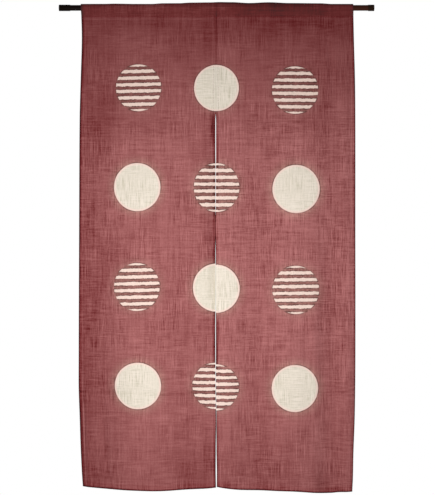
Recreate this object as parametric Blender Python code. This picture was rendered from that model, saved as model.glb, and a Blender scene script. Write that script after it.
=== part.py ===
"""Noren curtain on its rod.

Two widths of hemp cloth hang side by side from a round rod. Each width is one piece of cloth: its top is
turned over the rod to the back and sewn down as a pocket, its sides and foot are turned back as hems, and
the two are sewn edge to edge from the pocket down to the head of the slit.

Units are metres. The origin is on the rod's axis, midway along it. +X runs to the viewer's right along the
rod, +Y runs away from the viewer and +Z is up. A drop is a distance straight down from the rod's axis.
"""

import math

import bmesh
import bpy

# Rod and its two end caps
ROD_RADIUS = 0.0087
ROD_LENGTH = 0.966
ROD_SIDES = 24
CAP_RADIUS = 0.0097
CAP_END_WALL = 0.002
CAP_BEVEL = 0.0007
LEFT_CAP_LENGTH = 0.035
RIGHT_CAP_LENGTH = 0.019
SEAT_GAP = 0.0003

# Cloth: one layer, the pocket at its top and the hems on its other edges
CLOTH = 0.0012
LEFT_WIDTH = 0.4250
RIGHT_WIDTH = 0.4330
FOOT_DROP = 1.4860
POCKET_DROP = 0.0260
POCKET_BACKSET = -0.0030
CREST_SPREAD = math.radians(70)
FLAP_EDGE = 0.0032
SIDE_HEM = 0.0100
SLIT_HEM = 0.0090
FOOT_HEM = 0.0170
HEM_STEP = 0.0008
HEM_START = 0.0030

# How finely the cloth is divided
ARC_STEPS = 10
WALL_STEPS = 2
COLUMN_STEP = 0.027
ROW_STEP = 0.050

# The panels' outer edges and the line between them, as the cloth hangs.
# Columns: drop, x of the left edge, x of the line between the panels, x of the right edge.
OUTLINE = (
    (-0.010, -0.4180, -0.0010, 0.4205),
    (0.030, -0.4160, -0.0010, 0.4210),
    (0.100, -0.4145, -0.0015, 0.4225),
    (0.220, -0.4180, -0.0025, 0.4257),
    (0.345, -0.4215, -0.0027, 0.4268),
    (0.700, -0.4243, -0.0031, 0.4268),
    (0.900, -0.4257, -0.0030, 0.4272),
    (1.080, -0.4269, -0.0030, 0.4271),
    (1.180, -0.4275, -0.0025, 0.4264),
    (1.270, -0.4250, -0.0012, 0.4247),
    (1.370, -0.4221, -0.0014, 0.4208),
    (1.440, -0.4186, -0.0009, 0.4193),
    (1.490, -0.4148, -0.0006, 0.4168),
)

# The slit between the panels. Above its head they are sewn edge to edge. Columns: drop, width of the gap.
SLIT = (
    (0.000, 0.0003),
    (0.320, 0.0003),
    (0.350, 0.0026),
    (0.440, 0.0026),
    (0.500, 0.0017),
    (0.610, 0.0018),
    (0.645, 0.0005),
    (0.710, 0.0005),
    (0.760, 0.0016),
    (0.860, 0.0012),
    (1.010, 0.0024),
    (1.200, 0.0017),
    (1.290, 0.0010),
    (1.370, 0.0024),
    (1.440, 0.0040),
    (1.490, 0.0030),
)

# The pressed crease along the pocket's top, which stands higher in some places than in others.
# Columns: x, how far the crease stands above the cloth's turn over the rod.
CREST = (
    (-0.425, 0.0020),
    (-0.345, 0.0022),
    (-0.315, 0.0029),
    (-0.250, 0.0020),
    (-0.200, 0.0020),
    (-0.165, 0.0041),
    (-0.115, 0.0043),
    (-0.080, 0.0062),
    (-0.025, 0.0068),
    (0.010, 0.0079),
    (0.048, 0.0075),
    (0.100, 0.0049),
    (0.160, 0.0072),
    (0.225, 0.0048),
    (0.320, 0.0040),
    (0.355, 0.0020),
    (0.430, 0.0020),
)

# Soft folds. Columns: x of the crest at the foot, its half width, how far it stands towards the viewer
# (negative falls away), and the drops where it begins and where it has its full depth.
LEFT_FOLDS = (
    (-0.430, 0.170, -0.030, 0.100, 1.450),
    (-0.430, 0.036, -0.012, 1.000, 1.420),
    (-0.225, 0.120, 0.009, 0.060, 1.300),
    (-0.090, 0.070, -0.006, 0.200, 1.300),
    (0.000, 0.045, -0.008, 0.250, 0.430),
    (0.000, 0.055, 0.012, 0.800, 1.050),
)
RIGHT_FOLDS = (
    (0.025, 0.065, 0.008, 0.200, 1.200),
    (0.120, 0.060, -0.005, 0.300, 1.350),
    (0.226, 0.110, 0.012, 0.060, 1.350),
    (0.352, 0.060, -0.011, 0.040, 1.250),
    (0.402, 0.045, 0.005, 0.200, 1.300),
    (0.440, 0.030, -0.008, 0.500, 1.400),
)

# How far the foot hangs below its level line. Columns: x, extra drop at the foot.
LEFT_FOOT = (
    (-0.425, -0.0072),
    (-0.360, -0.0038),
    (-0.250, -0.0010),
    (-0.170, 0.0008),
    (-0.060, -0.0042),
    (0.000, -0.0100),
)
RIGHT_FOOT = (
    (-0.005, -0.0125),
    (0.080, -0.0018),
    (0.180, -0.0002),
    (0.240, 0.0012),
    (0.320, 0.0084),
    (0.355, 0.0088),
    (0.380, 0.0052),
    (0.430, 0.0018),
)
FOOT_REACH = 1.100

DYED_HEMP = ((0.270, 0.072, 0.072), 0.90, 0.0)
BROWN_ENAMEL = ((0.035, 0.014, 0.009), 0.35, 0.0)
BLACK_PLASTIC = ((0.010, 0.009, 0.008), 0.50, 0.0)


def clear_scene():
    """Removes what the scene holds, so that each run starts from nothing."""
    for thing in list(bpy.data.objects):
        bpy.data.objects.remove(thing)


def surface(name, finish):
    """A Principled material from a finish: its colour, roughness and metallic value."""
    colour, roughness, metallic = finish
    material = bpy.data.materials.new(name)
    material.use_nodes = True
    shader = material.node_tree.nodes["Principled BSDF"]
    shader.inputs["Base Color"].default_value = (*colour, 1.0)
    shader.inputs["Roughness"].default_value = roughness
    shader.inputs["Metallic"].default_value = metallic
    return material


def place(name, mesh_data, material):
    """Adds a finished mesh to the scene as one named sub-part."""
    mesh = bpy.data.meshes.new(name)
    mesh_data.to_mesh(mesh)
    mesh_data.free()
    mesh.materials.append(material)
    mesh.shade_smooth()
    mesh.set_sharp_from_angle(angle=math.radians(40))
    piece = bpy.data.objects.new(name, mesh)
    bpy.context.collection.objects.link(piece)
    return piece


def eased(value, low, high):
    """Rises smoothly from 0 at low to 1 at high."""
    share = min(1.0, max(0.0, (value - low) / (high - low)))
    return share * share * (3 - 2 * share)


def bell(offset, half_width):
    """1 at no offset, falling smoothly to 0 at half_width."""
    share = min(1.0, abs(offset) / half_width)
    return 0.5 * (1 + math.cos(math.pi * share))


def along(table, at, column):
    """A column's value on a smooth curve through a table's rows, where the first column is at."""
    last = len(table) - 1
    low = max([0] + [n for n in range(last) if table[n][0] <= at])
    before, start, end, after = (table[min(last, max(0, low + n))] for n in (-1, 0, 1, 2))
    span = end[0] - start[0]
    share = min(1.0, max(0.0, (at - start[0]) / span))
    rise_in = (end[column] - before[column]) / (end[0] - before[0]) * span
    rise_out = (after[column] - start[column]) / (after[0] - start[0]) * span
    squared, cubed = share**2, share**3
    return (
        (2 * cubed - 3 * squared + 1) * start[column]
        + (cubed - 2 * squared + share) * rise_in
        + (3 * squared - 2 * cubed) * end[column]
        + (cubed - squared) * rise_out
    )


def extrude(mesh, faces, distance):
    """Extrudes faces along X, with nothing left behind inside the solid, and returns the moved faces."""
    edges = list(dict.fromkeys(edge for face in faces for edge in face.edges))
    grown = bmesh.ops.extrude_face_region(mesh, geom=faces + edges)["geom"]
    moved = [item for item in grown if isinstance(item, bmesh.types.BMVert)]
    bmesh.ops.translate(mesh, verts=moved, vec=(distance, 0, 0))
    return [item for item in grown if isinstance(item, bmesh.types.BMFace)]


def stepped(table, at):
    """The second column of a table where the first is at, eased from row to row and never past either."""
    for (low, before), (high, after) in zip(table, table[1:]):
        if at <= high:
            return before + (after - before) * eased(at, low, high)
    return table[-1][1]


def pocket_wall():
    """The pocket's inner wall in the YZ plane, from the stitch line up the front, over the rod and down.

    Each entry is a point and the direction that faces out of the pocket. The walls run straight from the
    stitch line to where they meet the rod, and the turn over the rod is round until it is hung."""
    stitch = (POCKET_BACKSET, -POCKET_DROP)
    reach = math.hypot(*stitch)
    wrap_radius = ROD_RADIUS + SEAT_GAP
    towards = math.atan2(stitch[1], stitch[0])
    half_turn = math.acos(wrap_radius / reach)
    front, back = towards - half_turn + 2 * math.pi, towards + half_turn
    turn = (front - back) / ARC_STEPS
    radius = wrap_radius / math.cos(turn / 2)
    points = []
    for n in range(ARC_STEPS + 1):
        angle = front - n * turn
        out = (math.cos(angle), math.sin(angle))
        points.append(((radius * out[0], radius * out[1]), out))
    front_touch, back_touch = points[0], points[-1]
    rise = [wall_point(stitch, front_touch, n / WALL_STEPS) for n in range(WALL_STEPS)]
    fall = [wall_point(stitch, back_touch, n / WALL_STEPS) for n in range(WALL_STEPS)]
    return rise + points + fall[::-1]


def wall_point(stitch, touch, share):
    """A point on the straight wall from the stitch line to the rod, facing as the wall does at the rod."""
    (touch_y, touch_z), out = touch
    point = (stitch[0] + (touch_y - stitch[0]) * share, stitch[1] + (touch_z - stitch[1]) * share)
    return point, out


def sheet_drops():
    """The drops of the rows below the pocket's flap, with a close pair where the foot's hem begins."""
    first = POCKET_DROP + FLAP_EDGE
    hem_top = FOOT_DROP - FOOT_HEM
    start = first + HEM_START
    count = round((hem_top - HEM_STEP - start) / ROW_STEP)
    rows = [start + (hem_top - HEM_STEP - start) * n / count for n in range(count + 1)]
    return [first, *rows, hem_top, FOOT_DROP]


def columns(width, first_hem, last_hem):
    """Distances across a panel, with a close pair of columns where each side hem ends."""
    low = first_hem + HEM_STEP
    high = width - last_hem - HEM_STEP
    count = round((high - low) / COLUMN_STEP)
    inside = [low + (high - low) * n / count for n in range(count + 1)]
    return [0.0, first_hem, *inside, width - last_hem, width]


def section_faces(mesh, across):
    """Draws the flat cloth's cross-section in the plane X = across: pocket, flap and sheet, as faces."""

    def vertex(y, z):
        return mesh.verts.new((across, y, z))

    wall = pocket_wall()
    stitch = vertex(*wall[0][0])
    inner = [stitch] + [vertex(*point) for point, _ in wall[1:-1]] + [stitch]
    outer = [vertex(y + CLOTH * out_y, z + CLOTH * out_z) for (y, z), (out_y, out_z) in wall]
    faces = [
        mesh.faces.new((inner[n], outer[n], outer[n + 1], inner[n + 1]))
        for n in range(1, len(wall) - 2)
    ]
    last = len(wall) - 1
    faces.append(mesh.faces.new((stitch, outer[0], outer[1], inner[1])))
    faces.append(mesh.faces.new((inner[last - 1], outer[last - 1], outer[last], stitch)))

    front_y, back_y = POCKET_BACKSET - CLOTH, POCKET_BACKSET
    drops = sheet_drops()
    front = [vertex(front_y, -drop) for drop in drops]
    back = [vertex(back_y, -drop) for drop in drops]
    flap = vertex(back_y + CLOTH, -drops[0])
    faces.append(mesh.faces.new((outer[0], stitch, back[0], front[0])))
    faces.append(mesh.faces.new((stitch, outer[last], flap, back[0])))
    for n in range(len(drops) - 1):
        faces.append(mesh.faces.new((front[n], back[n], back[n + 1], front[n + 1])))
    return faces


def flat_panel(across):
    """The flat cloth with its pocket: the cross-section, extruded from column to column."""
    mesh = bmesh.new()
    faces = section_faces(mesh, across[0])
    for before, after in zip(across, across[1:]):
        faces = extrude(mesh, faces, after - before)
    mesh.normal_update()
    bmesh.ops.recalc_face_normals(mesh, faces=mesh.faces[:])
    return mesh


def hem_layers(panel, across, drop):
    """Layers that the hems turn to the back at a place on the sheet."""
    if drop < POCKET_DROP + FLAP_EDGE + HEM_START / 2:
        return 0
    margin = HEM_STEP / 2
    at_side = across < panel["first_hem"] + margin or across > panel["width"] - panel["last_hem"] - margin
    at_foot = drop > FOOT_DROP - FOOT_HEM - margin
    return int(at_side) + int(at_foot)


def fold_depth(folds, x, drop):
    """How far the folds carry the cloth away from the viewer."""
    return -sum(
        stand * bell(x - crest, half) * eased(drop, start, full)
        for crest, half, stand, start, full in folds
    )


def crest_lift(x, y, z):
    """How far a point of the pocket is lifted towards the crease that stands along its top."""
    if z <= 0:
        return 0.0
    return stepped(CREST, x) * bell(math.atan2(z, y) - math.pi / 2, CREST_SPREAD)


def hang(mesh, panel):
    """Carries the flat cloth to where it hangs: its outline, crease, thick hems, folds and foot."""
    tiny = CLOTH / 10
    for vertex in mesh.verts:
        across, y, z = vertex.co
        drop = -z
        if drop > POCKET_DROP + FLAP_EDGE - tiny and y > POCKET_BACKSET - tiny:
            y += CLOTH * hem_layers(panel, across, drop)
        gap = stepped(SLIT, drop)
        left, middle, right = (along(OUTLINE, drop, column) for column in (1, 2, 3))
        low, high = (left, middle - gap / 2) if panel["is_left"] else (middle + gap / 2, right)
        x = low + (high - low) * across / panel["width"]
        z += crest_lift(x, y, z)
        y += fold_depth(panel["folds"], x, drop)
        z -= along(panel["foot"], x, 1) * eased(drop, FOOT_DROP - FOOT_REACH, FOOT_DROP)
        vertex.co = (x, y, z)


def build_panel(name, panel, material):
    """One width of cloth, cut, hemmed and hung."""
    mesh = flat_panel(columns(panel["width"], panel["first_hem"], panel["last_hem"]))
    hang(mesh, panel)
    return place(name, mesh, material)


def bar(radius, length, sides):
    """A solid round bar along X, centred on the origin."""
    mesh = bmesh.new()
    bmesh.ops.create_cone(
        mesh, cap_ends=True, segments=sides, radius1=radius, radius2=radius, depth=length
    )
    for vertex in mesh.verts:
        x, y, z = vertex.co
        vertex.co = (z, x, y)
    mesh.normal_update()
    return mesh


def end_face(mesh, side):
    """The flat face at one end of a bar: side is -1 for the left end and 1 for the right."""
    return max(mesh.faces, key=lambda face: side * face.calc_center_median().x)


def build_rod(material):
    """The plain rod, between its caps."""
    return place("rod", bar(ROD_RADIUS, ROD_LENGTH, ROD_SIDES), material)


def build_cap(name, side, length, material):
    """A cap that sleeves one end of the rod. Its closed end is bevelled and its socket clears the rod."""
    mesh = bar(CAP_RADIUS, length, ROD_SIDES)
    closed_end = end_face(mesh, side)
    bmesh.ops.bevel(
        mesh, geom=closed_end.edges[:], offset=CAP_BEVEL, segments=2, profile=0.5, affect="EDGES"
    )
    socket = end_face(mesh, -side)
    wall = CAP_RADIUS - ROD_RADIUS - SEAT_GAP
    bmesh.ops.inset_region(mesh, faces=[socket], thickness=wall, use_even_offset=True)
    extrude(mesh, [socket], side * (length - CAP_END_WALL))
    mesh.normal_update()
    bmesh.ops.recalc_face_normals(mesh, faces=mesh.faces[:])
    piece = place(name, mesh, material)
    rod_end = ROD_LENGTH / 2 + SEAT_GAP + CAP_END_WALL
    piece.location.x = side * (rod_end - length / 2)
    return piece


def main():
    """Builds the curtain: two panels, the rod and its caps."""
    clear_scene()
    hemp = surface("dyed hemp", DYED_HEMP)
    enamel = surface("brown enamel", BROWN_ENAMEL)
    plastic = surface("black plastic", BLACK_PLASTIC)
    left = {
        "is_left": True,
        "width": LEFT_WIDTH,
        "first_hem": SIDE_HEM,
        "last_hem": SLIT_HEM,
        "folds": LEFT_FOLDS,
        "foot": LEFT_FOOT,
    }
    right = {
        "is_left": False,
        "width": RIGHT_WIDTH,
        "first_hem": SLIT_HEM,
        "last_hem": SIDE_HEM,
        "folds": RIGHT_FOLDS,
        "foot": RIGHT_FOOT,
    }
    build_panel("panel_left", left, hemp)
    build_panel("panel_right", right, hemp)
    build_rod(enamel)
    build_cap("cap_left", -1, LEFT_CAP_LENGTH, plastic)
    build_cap("cap_right", 1, RIGHT_CAP_LENGTH, plastic)


main()
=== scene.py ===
"""A noren curtain of dyed hemp on its rod, in a plain white studio.

Each width of cloth is one sheet of its cut size: a flat grid that is turned over the rod as the pocket,
turned back as hems along its sides and foot, and hung in the folds of its solid. The dots are left undyed.
"""

import math
from functools import partial
from random import Random

import bmesh
import bpy
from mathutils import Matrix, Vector


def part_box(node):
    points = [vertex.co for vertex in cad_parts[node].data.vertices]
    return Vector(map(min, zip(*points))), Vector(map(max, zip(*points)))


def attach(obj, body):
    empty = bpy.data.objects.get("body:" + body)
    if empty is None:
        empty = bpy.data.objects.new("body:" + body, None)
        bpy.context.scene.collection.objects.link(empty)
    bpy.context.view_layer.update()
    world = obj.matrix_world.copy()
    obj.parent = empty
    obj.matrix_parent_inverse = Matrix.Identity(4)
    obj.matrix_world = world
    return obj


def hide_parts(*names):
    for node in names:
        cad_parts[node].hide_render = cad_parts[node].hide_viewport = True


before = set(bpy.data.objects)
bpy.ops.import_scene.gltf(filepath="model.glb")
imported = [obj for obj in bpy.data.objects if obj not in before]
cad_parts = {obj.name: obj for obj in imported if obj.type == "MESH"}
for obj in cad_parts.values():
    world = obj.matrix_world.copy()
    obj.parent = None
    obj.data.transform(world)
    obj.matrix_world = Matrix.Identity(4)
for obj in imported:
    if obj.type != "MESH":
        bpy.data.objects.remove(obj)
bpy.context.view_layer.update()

bl_info = {
    "name": "Noren curtain",
    "version": (1, 0, 0),
    "blender": (4, 5, 0),
    "location": "3D View > Sidebar > Noren",
    "description": "Builds a split doorway curtain of dyed hemp cloth on its rod",
    "category": "Object",
}

ROD_LOW, ROD_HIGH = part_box("rod")
LEFT_CAP_LOW, LEFT_CAP_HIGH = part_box("cap_left")
RIGHT_CAP_LOW, RIGHT_CAP_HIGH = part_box("cap_right")
ROD_RADIUS = (ROD_HIGH[2] - ROD_LOW[2]) / 2
CAP_RADIUS = (LEFT_CAP_HIGH[2] - LEFT_CAP_LOW[2]) / 2

MM = 0.001

# The cloth as it is cut and turned
LEFT_WIDTH = 0.4250
RIGHT_WIDTH = 0.4330
FOOT_DROP = 1.4860
POCKET_DROP = 0.0260
FACE_SETBACK = -0.00395
FLAP_EDGE = 0.0032
WRAP_RADIUS = ROD_RADIUS + 1.2 * MM
CREST_SPREAD = math.radians(70)
SIDE_HEM = 0.0100
SLIT_HEM = 0.0090
FOOT_HEM = 0.0170
LAYER_GAP = 0.0007
HEM_BLEND = 0.0040
POCKET_STITCH = POCKET_DROP + 0.0018
STITCH_INSET = 0.0015
PUCKER = 0.00016
PUCKER_REACH = 0.014
FOOT_REACH = 1.100

# Painted shade along folded edges and painted highlights along sewn lines: where they lie, and how strong
EDGE_SHADE_WIDTH = 0.0030
EDGE_SHADE = 2.2
SEAM_SHADE_SHARE = 0.20
HEM_LINE = 0.0030
HEM_HIGHLIGHT = 0.35
SEAM_RIDGE = 0.0330
SEAM_SPREAD = 0.0045
SEAM_HIGHLIGHT = 1.3

# How much lighter the cloth is painted for each metre that a fold or a fine crease stands out, and how much
# darker where it falls away: a painted highlight on ridges and painted shade in troughs
FOLD_SHADE = 6.0
CREASE_SHADE = 24.0

# How finely the cloth is divided
COLUMN_STEP = 0.0050
ROW_STEP = 0.0050
WALL_STEPS = 6
ARC_STEPS = 16
FOLD_STEPS = 4
HEM_STEPS = 5
BESIDE_HEM = 0.008
BESIDE_STEP = 0.0018

# The panels' outer edges and the line between them, as the cloth hangs.
# Columns: drop, x of the left edge, x of the line between the panels, x of the right edge.
OUTLINE = (
    (-0.010, -0.4180, -0.0010, 0.4205),
    (0.030, -0.4160, -0.0010, 0.4210),
    (0.100, -0.4145, -0.0015, 0.4225),
    (0.220, -0.4180, -0.0025, 0.4257),
    (0.345, -0.4215, -0.0027, 0.4268),
    (0.700, -0.4243, -0.0031, 0.4268),
    (0.900, -0.4257, -0.0030, 0.4272),
    (1.080, -0.4269, -0.0030, 0.4271),
    (1.180, -0.4275, -0.0025, 0.4264),
    (1.270, -0.4250, -0.0012, 0.4247),
    (1.370, -0.4221, -0.0014, 0.4208),
    (1.440, -0.4186, -0.0009, 0.4193),
    (1.490, -0.4148, -0.0006, 0.4168),
)

# The slit between the panels. Above its head they are sewn edge to edge. Columns: drop, width of the gap.
SLIT = (
    (0.000, 0.0003),
    (0.320, 0.0003),
    (0.350, 0.0026),
    (0.440, 0.0026),
    (0.500, 0.0017),
    (0.610, 0.0018),
    (0.645, 0.0005),
    (0.710, 0.0005),
    (0.760, 0.0016),
    (0.860, 0.0012),
    (1.010, 0.0024),
    (1.200, 0.0017),
    (1.290, 0.0010),
    (1.370, 0.0024),
    (1.440, 0.0040),
    (1.490, 0.0030),
)
SLIT_HEAD = 0.320

# The pressed crease along the pocket's top, which stands higher in some places than in others.
# Columns: x, how far the crease stands above the cloth's turn over the rod.
CREST = (
    (-0.425, 0.0020),
    (-0.345, 0.0022),
    (-0.315, 0.0029),
    (-0.250, 0.0020),
    (-0.200, 0.0020),
    (-0.165, 0.0041),
    (-0.115, 0.0043),
    (-0.080, 0.0062),
    (-0.025, 0.0068),
    (0.010, 0.0079),
    (0.048, 0.0075),
    (0.100, 0.0049),
    (0.160, 0.0072),
    (0.225, 0.0048),
    (0.320, 0.0040),
    (0.355, 0.0020),
    (0.430, 0.0020),
)

# Soft folds. Columns: x of the crest at the foot, its half width, how far it stands towards the viewer
# (negative falls away), and the drops where it begins and where it has its full depth.
LEFT_FOLDS = (
    (-0.430, 0.170, -0.030, 0.100, 1.450),
    (-0.430, 0.036, -0.012, 1.000, 1.420),
    (-0.225, 0.120, 0.009, 0.060, 1.300),
    (-0.090, 0.070, -0.006, 0.200, 1.300),
    (0.000, 0.045, -0.008, 0.250, 0.430),
    (0.000, 0.055, 0.012, 0.800, 1.050),
)
RIGHT_FOLDS = (
    (0.025, 0.065, 0.008, 0.200, 1.200),
    (0.120, 0.060, -0.005, 0.300, 1.350),
    (0.226, 0.110, 0.012, 0.060, 1.350),
    (0.352, 0.060, -0.011, 0.040, 1.250),
    (0.402, 0.045, 0.005, 0.200, 1.300),
    (0.440, 0.030, -0.008, 0.500, 1.400),
)

# Creases too fine for the solids. Columns: x, drop of the middle, half width, half length, how far the
# crease stands towards the viewer (negative is a trough), and how far its foot leans to the right.
CREASES = (
    (-0.402, 1.290, 0.007, 0.230, 0.0012, 0.010),
    (-0.345, 1.330, 0.022, 0.180, -0.0022, 0.012),
    (-0.300, 0.420, 0.028, 0.260, 0.0020, -0.014),
    (-0.185, 0.720, 0.026, 0.300, -0.0020, 0.010),
    (-0.120, 0.330, 0.024, 0.220, 0.0018, 0.012),
    (0.003, 0.590, 0.014, 0.270, -0.0036, 0.002),
    (0.002, 1.410, 0.012, 0.150, -0.0030, 0.000),
    (-0.036, 1.300, 0.014, 0.170, -0.0018, 0.006),
    (0.0175, 0.600, 0.015, 0.290, 0.0026, 0.006),
    (0.034, 1.240, 0.016, 0.200, 0.0016, 0.004),
    (0.155, 0.520, 0.026, 0.280, -0.0020, -0.012),
    (0.195, 1.340, 0.022, 0.150, 0.0020, -0.008),
    (0.300, 1.050, 0.026, 0.300, 0.0020, 0.010),
    (0.352, 0.180, 0.018, 0.160, -0.0020, 0.014),
    (0.412, 0.300, 0.009, 0.240, -0.0012, 0.004),
)

# Creases that lie straight across a panel, where it was folded away. Columns: x of the middle, drop, half
# length, half width, and how far the crease stands towards the viewer.
CROSS_CREASES = (
    (-0.220, 1.188, 0.290, 0.007, -0.0018),
    (-0.250, 1.370, 0.240, 0.008, -0.0011),
    (0.215, 1.160, 0.280, 0.007, -0.0009),
)

# Where the cloth is painted darker (negative) or lighter than round it, from a dark edge line to a broad
# cloud: painted shade beside the slit, along the edges and in creases, painted highlights on ridges beside
# the slit and hems, and broad clouds that are partly uneven dye and partly painted light and shade.
# Columns: distance across the cloth from its left edge, drop of the middle, half width, half length, and
# how much lighter the colour is painted in the middle.
LEFT_DYE_AND_SHADE = (
    (0.000, 0.850, 0.160, 0.950, -0.22),
    (0.000, 0.540, 0.0075, 0.740, -0.78),
    (0.000, 0.070, 0.0070, 0.190, -0.70),
    (0.205, 1.1884, 0.330, 0.0065, -0.13),
    (0.230, 1.365, 0.260, 0.0065, -0.05),
    (0.062, 0.330, 0.130, 0.220, -0.19),
    (0.155, 0.110, 0.140, 0.100, 0.13),
    (0.245, 0.000, 0.150, 0.030, 0.04),
    (0.212, 0.358, 0.500, 0.050, -0.07),
    (0.135, 0.750, 0.100, 0.100, -0.13),
    (0.285, 0.870, 0.080, 0.100, -0.08),
    (0.255, 0.990, 0.200, 0.080, -0.12),
    (0.055, 1.330, 0.100, 0.130, 0.15),
    (0.004, 1.290, 0.008, 0.240, -0.26),
    (0.0132, 1.300, 0.0030, 0.240, 0.60),
    (0.398, 0.130, 0.040, 0.060, -0.10),
    (0.395, 0.620, 0.034, 0.620, -0.07),
    (0.410, 0.800, 0.016, 0.360, -0.16),
    (0.400, 1.400, 0.035, 0.190, -0.20),
    (0.345, 1.450, 0.060, 0.090, -0.14),
    (0.347, 0.640, 0.030, 0.060, -0.12),
    (0.008, 0.160, 0.022, 0.130, -0.16),
    (0.078, 0.860, 0.034, 0.070, -0.11),
    (0.417, 0.366, 0.013, 0.078, -0.62),
    (0.4235, 0.560, 0.012, 0.280, -0.42),
    (0.4245, 0.675, 0.004, 0.060, 0.60),
    (0.200, 0.628, 0.250, 0.0065, 0.07),
    (0.423, 0.970, 0.012, 0.350, -0.46),
    (0.423, 1.410, 0.011, 0.160, -0.28),
)
RIGHT_DYE_AND_SHADE = (
    (0.0008, 0.500, 0.0022, 0.190, 1.20),
    (0.0050, 0.480, 0.0055, 0.200, -0.50),
    (0.0005, 0.675, 0.004, 0.060, 0.60),
    (0.0038, 1.085, 0.0042, 0.080, -0.70),
    (0.0060, 1.000, 0.0085, 0.075, -0.38),
    (0.0115, 0.580, 0.0075, 0.270, 0.17),
    (0.0235, 1.060, 0.010, 0.200, 0.08),
    (0.046, 0.130, 0.055, 0.060, 0.15),
    (0.0465, 0.700, 0.070, 0.800, 0.06),
    (0.2715, 0.700, 0.100, 1.200, 0.06),
    (0.220, 0.000, 0.250, 0.030, -0.17),
    (0.220, 0.030, 0.300, 0.080, -0.11),
    (0.312, 0.280, 0.080, 0.260, -0.12),
    (0.348, 0.290, 0.030, 0.060, -0.13),
    (0.430, 0.210, 0.040, 0.080, -0.13),
    (0.215, 0.358, 0.500, 0.050, -0.07),
    (0.215, 0.6455, 0.280, 0.0065, 0.10),
    (0.433, 0.700, 0.006, 0.900, -0.74),
    (0.300, 1.178, 0.220, 0.022, -0.06),
    (0.412, 0.820, 0.026, 0.110, 0.12),
    (0.412, 1.245, 0.024, 0.050, -0.13),
    (0.160, 0.500, 0.080, 0.060, 0.10),
    (0.230, 0.640, 0.100, 0.090, 0.12),
    (0.150, 0.930, 0.160, 0.120, 0.07),
    (0.190, 1.420, 0.110, 0.130, -0.12),
    (0.330, 1.340, 0.070, 0.160, 0.13),
    (0.290, 1.490, 0.200, 0.020, -0.12),
)

# How far the foot hangs below its level line. Columns: x, extra drop at the foot.
LEFT_FOOT = (
    (-0.425, -0.0072),
    (-0.360, -0.0038),
    (-0.250, -0.0010),
    (-0.170, 0.0008),
    (-0.060, -0.0042),
    (0.000, -0.0100),
)
RIGHT_FOOT = (
    (-0.005, -0.0125),
    (0.080, -0.0018),
    (0.180, -0.0002),
    (0.240, 0.0012),
    (0.320, 0.0084),
    (0.355, 0.0088),
    (0.380, 0.0052),
    (0.430, 0.0018),
)

# The undyed dots, which repeat in columns and rows with small slips, as stencils do. A dot on the slit is
# half on each panel. Columns: column, row, x of its centre, drop of its centre, its width and height in
# millimetres, and its tilt in degrees.
DOT_RADIUS = 0.0714
DOT_COLUMNS = 0.243
DOT_ROWS = 0.307
LEFT_DOTS = (
    (0, 0, -0.2399, 0.2467, 139, 144, 1.3),
    (0, 1, -0.2442, 0.5523, 143, 148, 0.0),
    (0, 2, -0.2452, 0.8594, 141, 147, 1.3),
    (0, 3, -0.2421, 1.1633, 143, 143, 0.0),
    (1, 0, -0.0003, 0.2473, 138, 142, 0.0),
    (1, 1, 0.0000, 0.5532, 140, 150, 0.3),
    (1, 2, -0.0009, 0.8615, 144, 148, 0.0),
    (1, 3, -0.0031, 1.1632, 143, 142, 0.3),
)
RIGHT_DOTS = (
    (1, 0, -0.0003, 0.2473, 138, 142, 0.0),
    (1, 1, 0.0000, 0.5537, 140, 150, 0.0),
    (1, 2, -0.0009, 0.8646, 144, 148, 0.0),
    (1, 3, -0.0031, 1.1678, 143, 142, 0.0),
    (2, 0, 0.2415, 0.2538, 142, 146, -0.3),
    (2, 1, 0.2446, 0.5581, 146, 148, 0.0),
    (2, 2, 0.2436, 0.8683, 144, 148, 0.6),
    (2, 3, 0.2408, 1.1708, 143, 144, 0.0),
)
BAND_PITCH = 0.0201
BAND_WIDTH = 0.0103
BAND_TAPER = 0.0008

# Round the dots: how far the paste thinned the dye, and the fine dark line where it ended
PASTE_REACH = 0.034
LINE_SETBACK = 0.0013
LINE_REACH = 0.0024

# Threads are drawn 1.3 mm apart, over twice the real spacing, so that the weave shows when the cloth fills
# the view. The wave texture's own period is a twentieth of a turn.
THREAD_SHOWN = 0.0013
WAVE_PERIOD = math.tau / 20

# The cloth is darker near the top and towards the foot. Columns: a drop, a lower drop, and how much
# lighter (or darker, negative) the colour is at the one and at the other.
DARKER_BY_DROP = (
    (0.02, 0.48, -0.26, 0.0),
    (-0.02, 0.20, -0.16, 0.0),
    (1.10, 1.47, 0.0, -0.12),
)

# The rod and its caps are painted darker towards the left end and browner towards the right, as painted
# shade and light, between these distances left and right of the middle
LIGHT_SIDE_REACH = 0.42
SMOOTH = {"interpolation_type": "SMOOTHSTEP"}

PANELS = {
    "left": {
        "node": "panel_left",
        "is_left": True,
        "width": LEFT_WIDTH,
        "first_hem": SIDE_HEM,
        "last_hem": SLIT_HEM,
        "folds": LEFT_FOLDS,
        "dye": LEFT_DYE_AND_SHADE,
        "crest_shade": 0.20,
        "foot": LEFT_FOOT,
        "dots": LEFT_DOTS,
    },
    "right": {
        "node": "panel_right",
        "is_left": False,
        "width": RIGHT_WIDTH,
        "first_hem": SLIT_HEM,
        "last_hem": SIDE_HEM,
        "folds": RIGHT_FOLDS,
        "dye": RIGHT_DYE_AND_SHADE,
        "crest_shade": 0.45,
        "foot": RIGHT_FOOT,
        "dots": RIGHT_DOTS,
    },
}

# The studio. The photograph's frame is 495 pixels high, and a pixel is 3.08 mm at the cloth.
PHOTO_HEIGHT = 495
PIXEL = 3.08 * MM
VIEW_CENTRE = (0.0028, -0.738)
SENSOR = 36.0
FLOOR_DROP = 2.0
FLOOR_RADIUS = 2.4
WORLD_FRONT = 0.26
WORLD_BEHIND = 0.9
KEY_POWER = 23.5
KEY_PLACE = (-0.14, -1.45, -0.84)
KEY_SIZE = 0.55


def size_property(name, description, metres):
    """A length that the user can change."""
    return bpy.props.FloatProperty(name=name, description=description, default=metres, unit="LENGTH")


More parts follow.
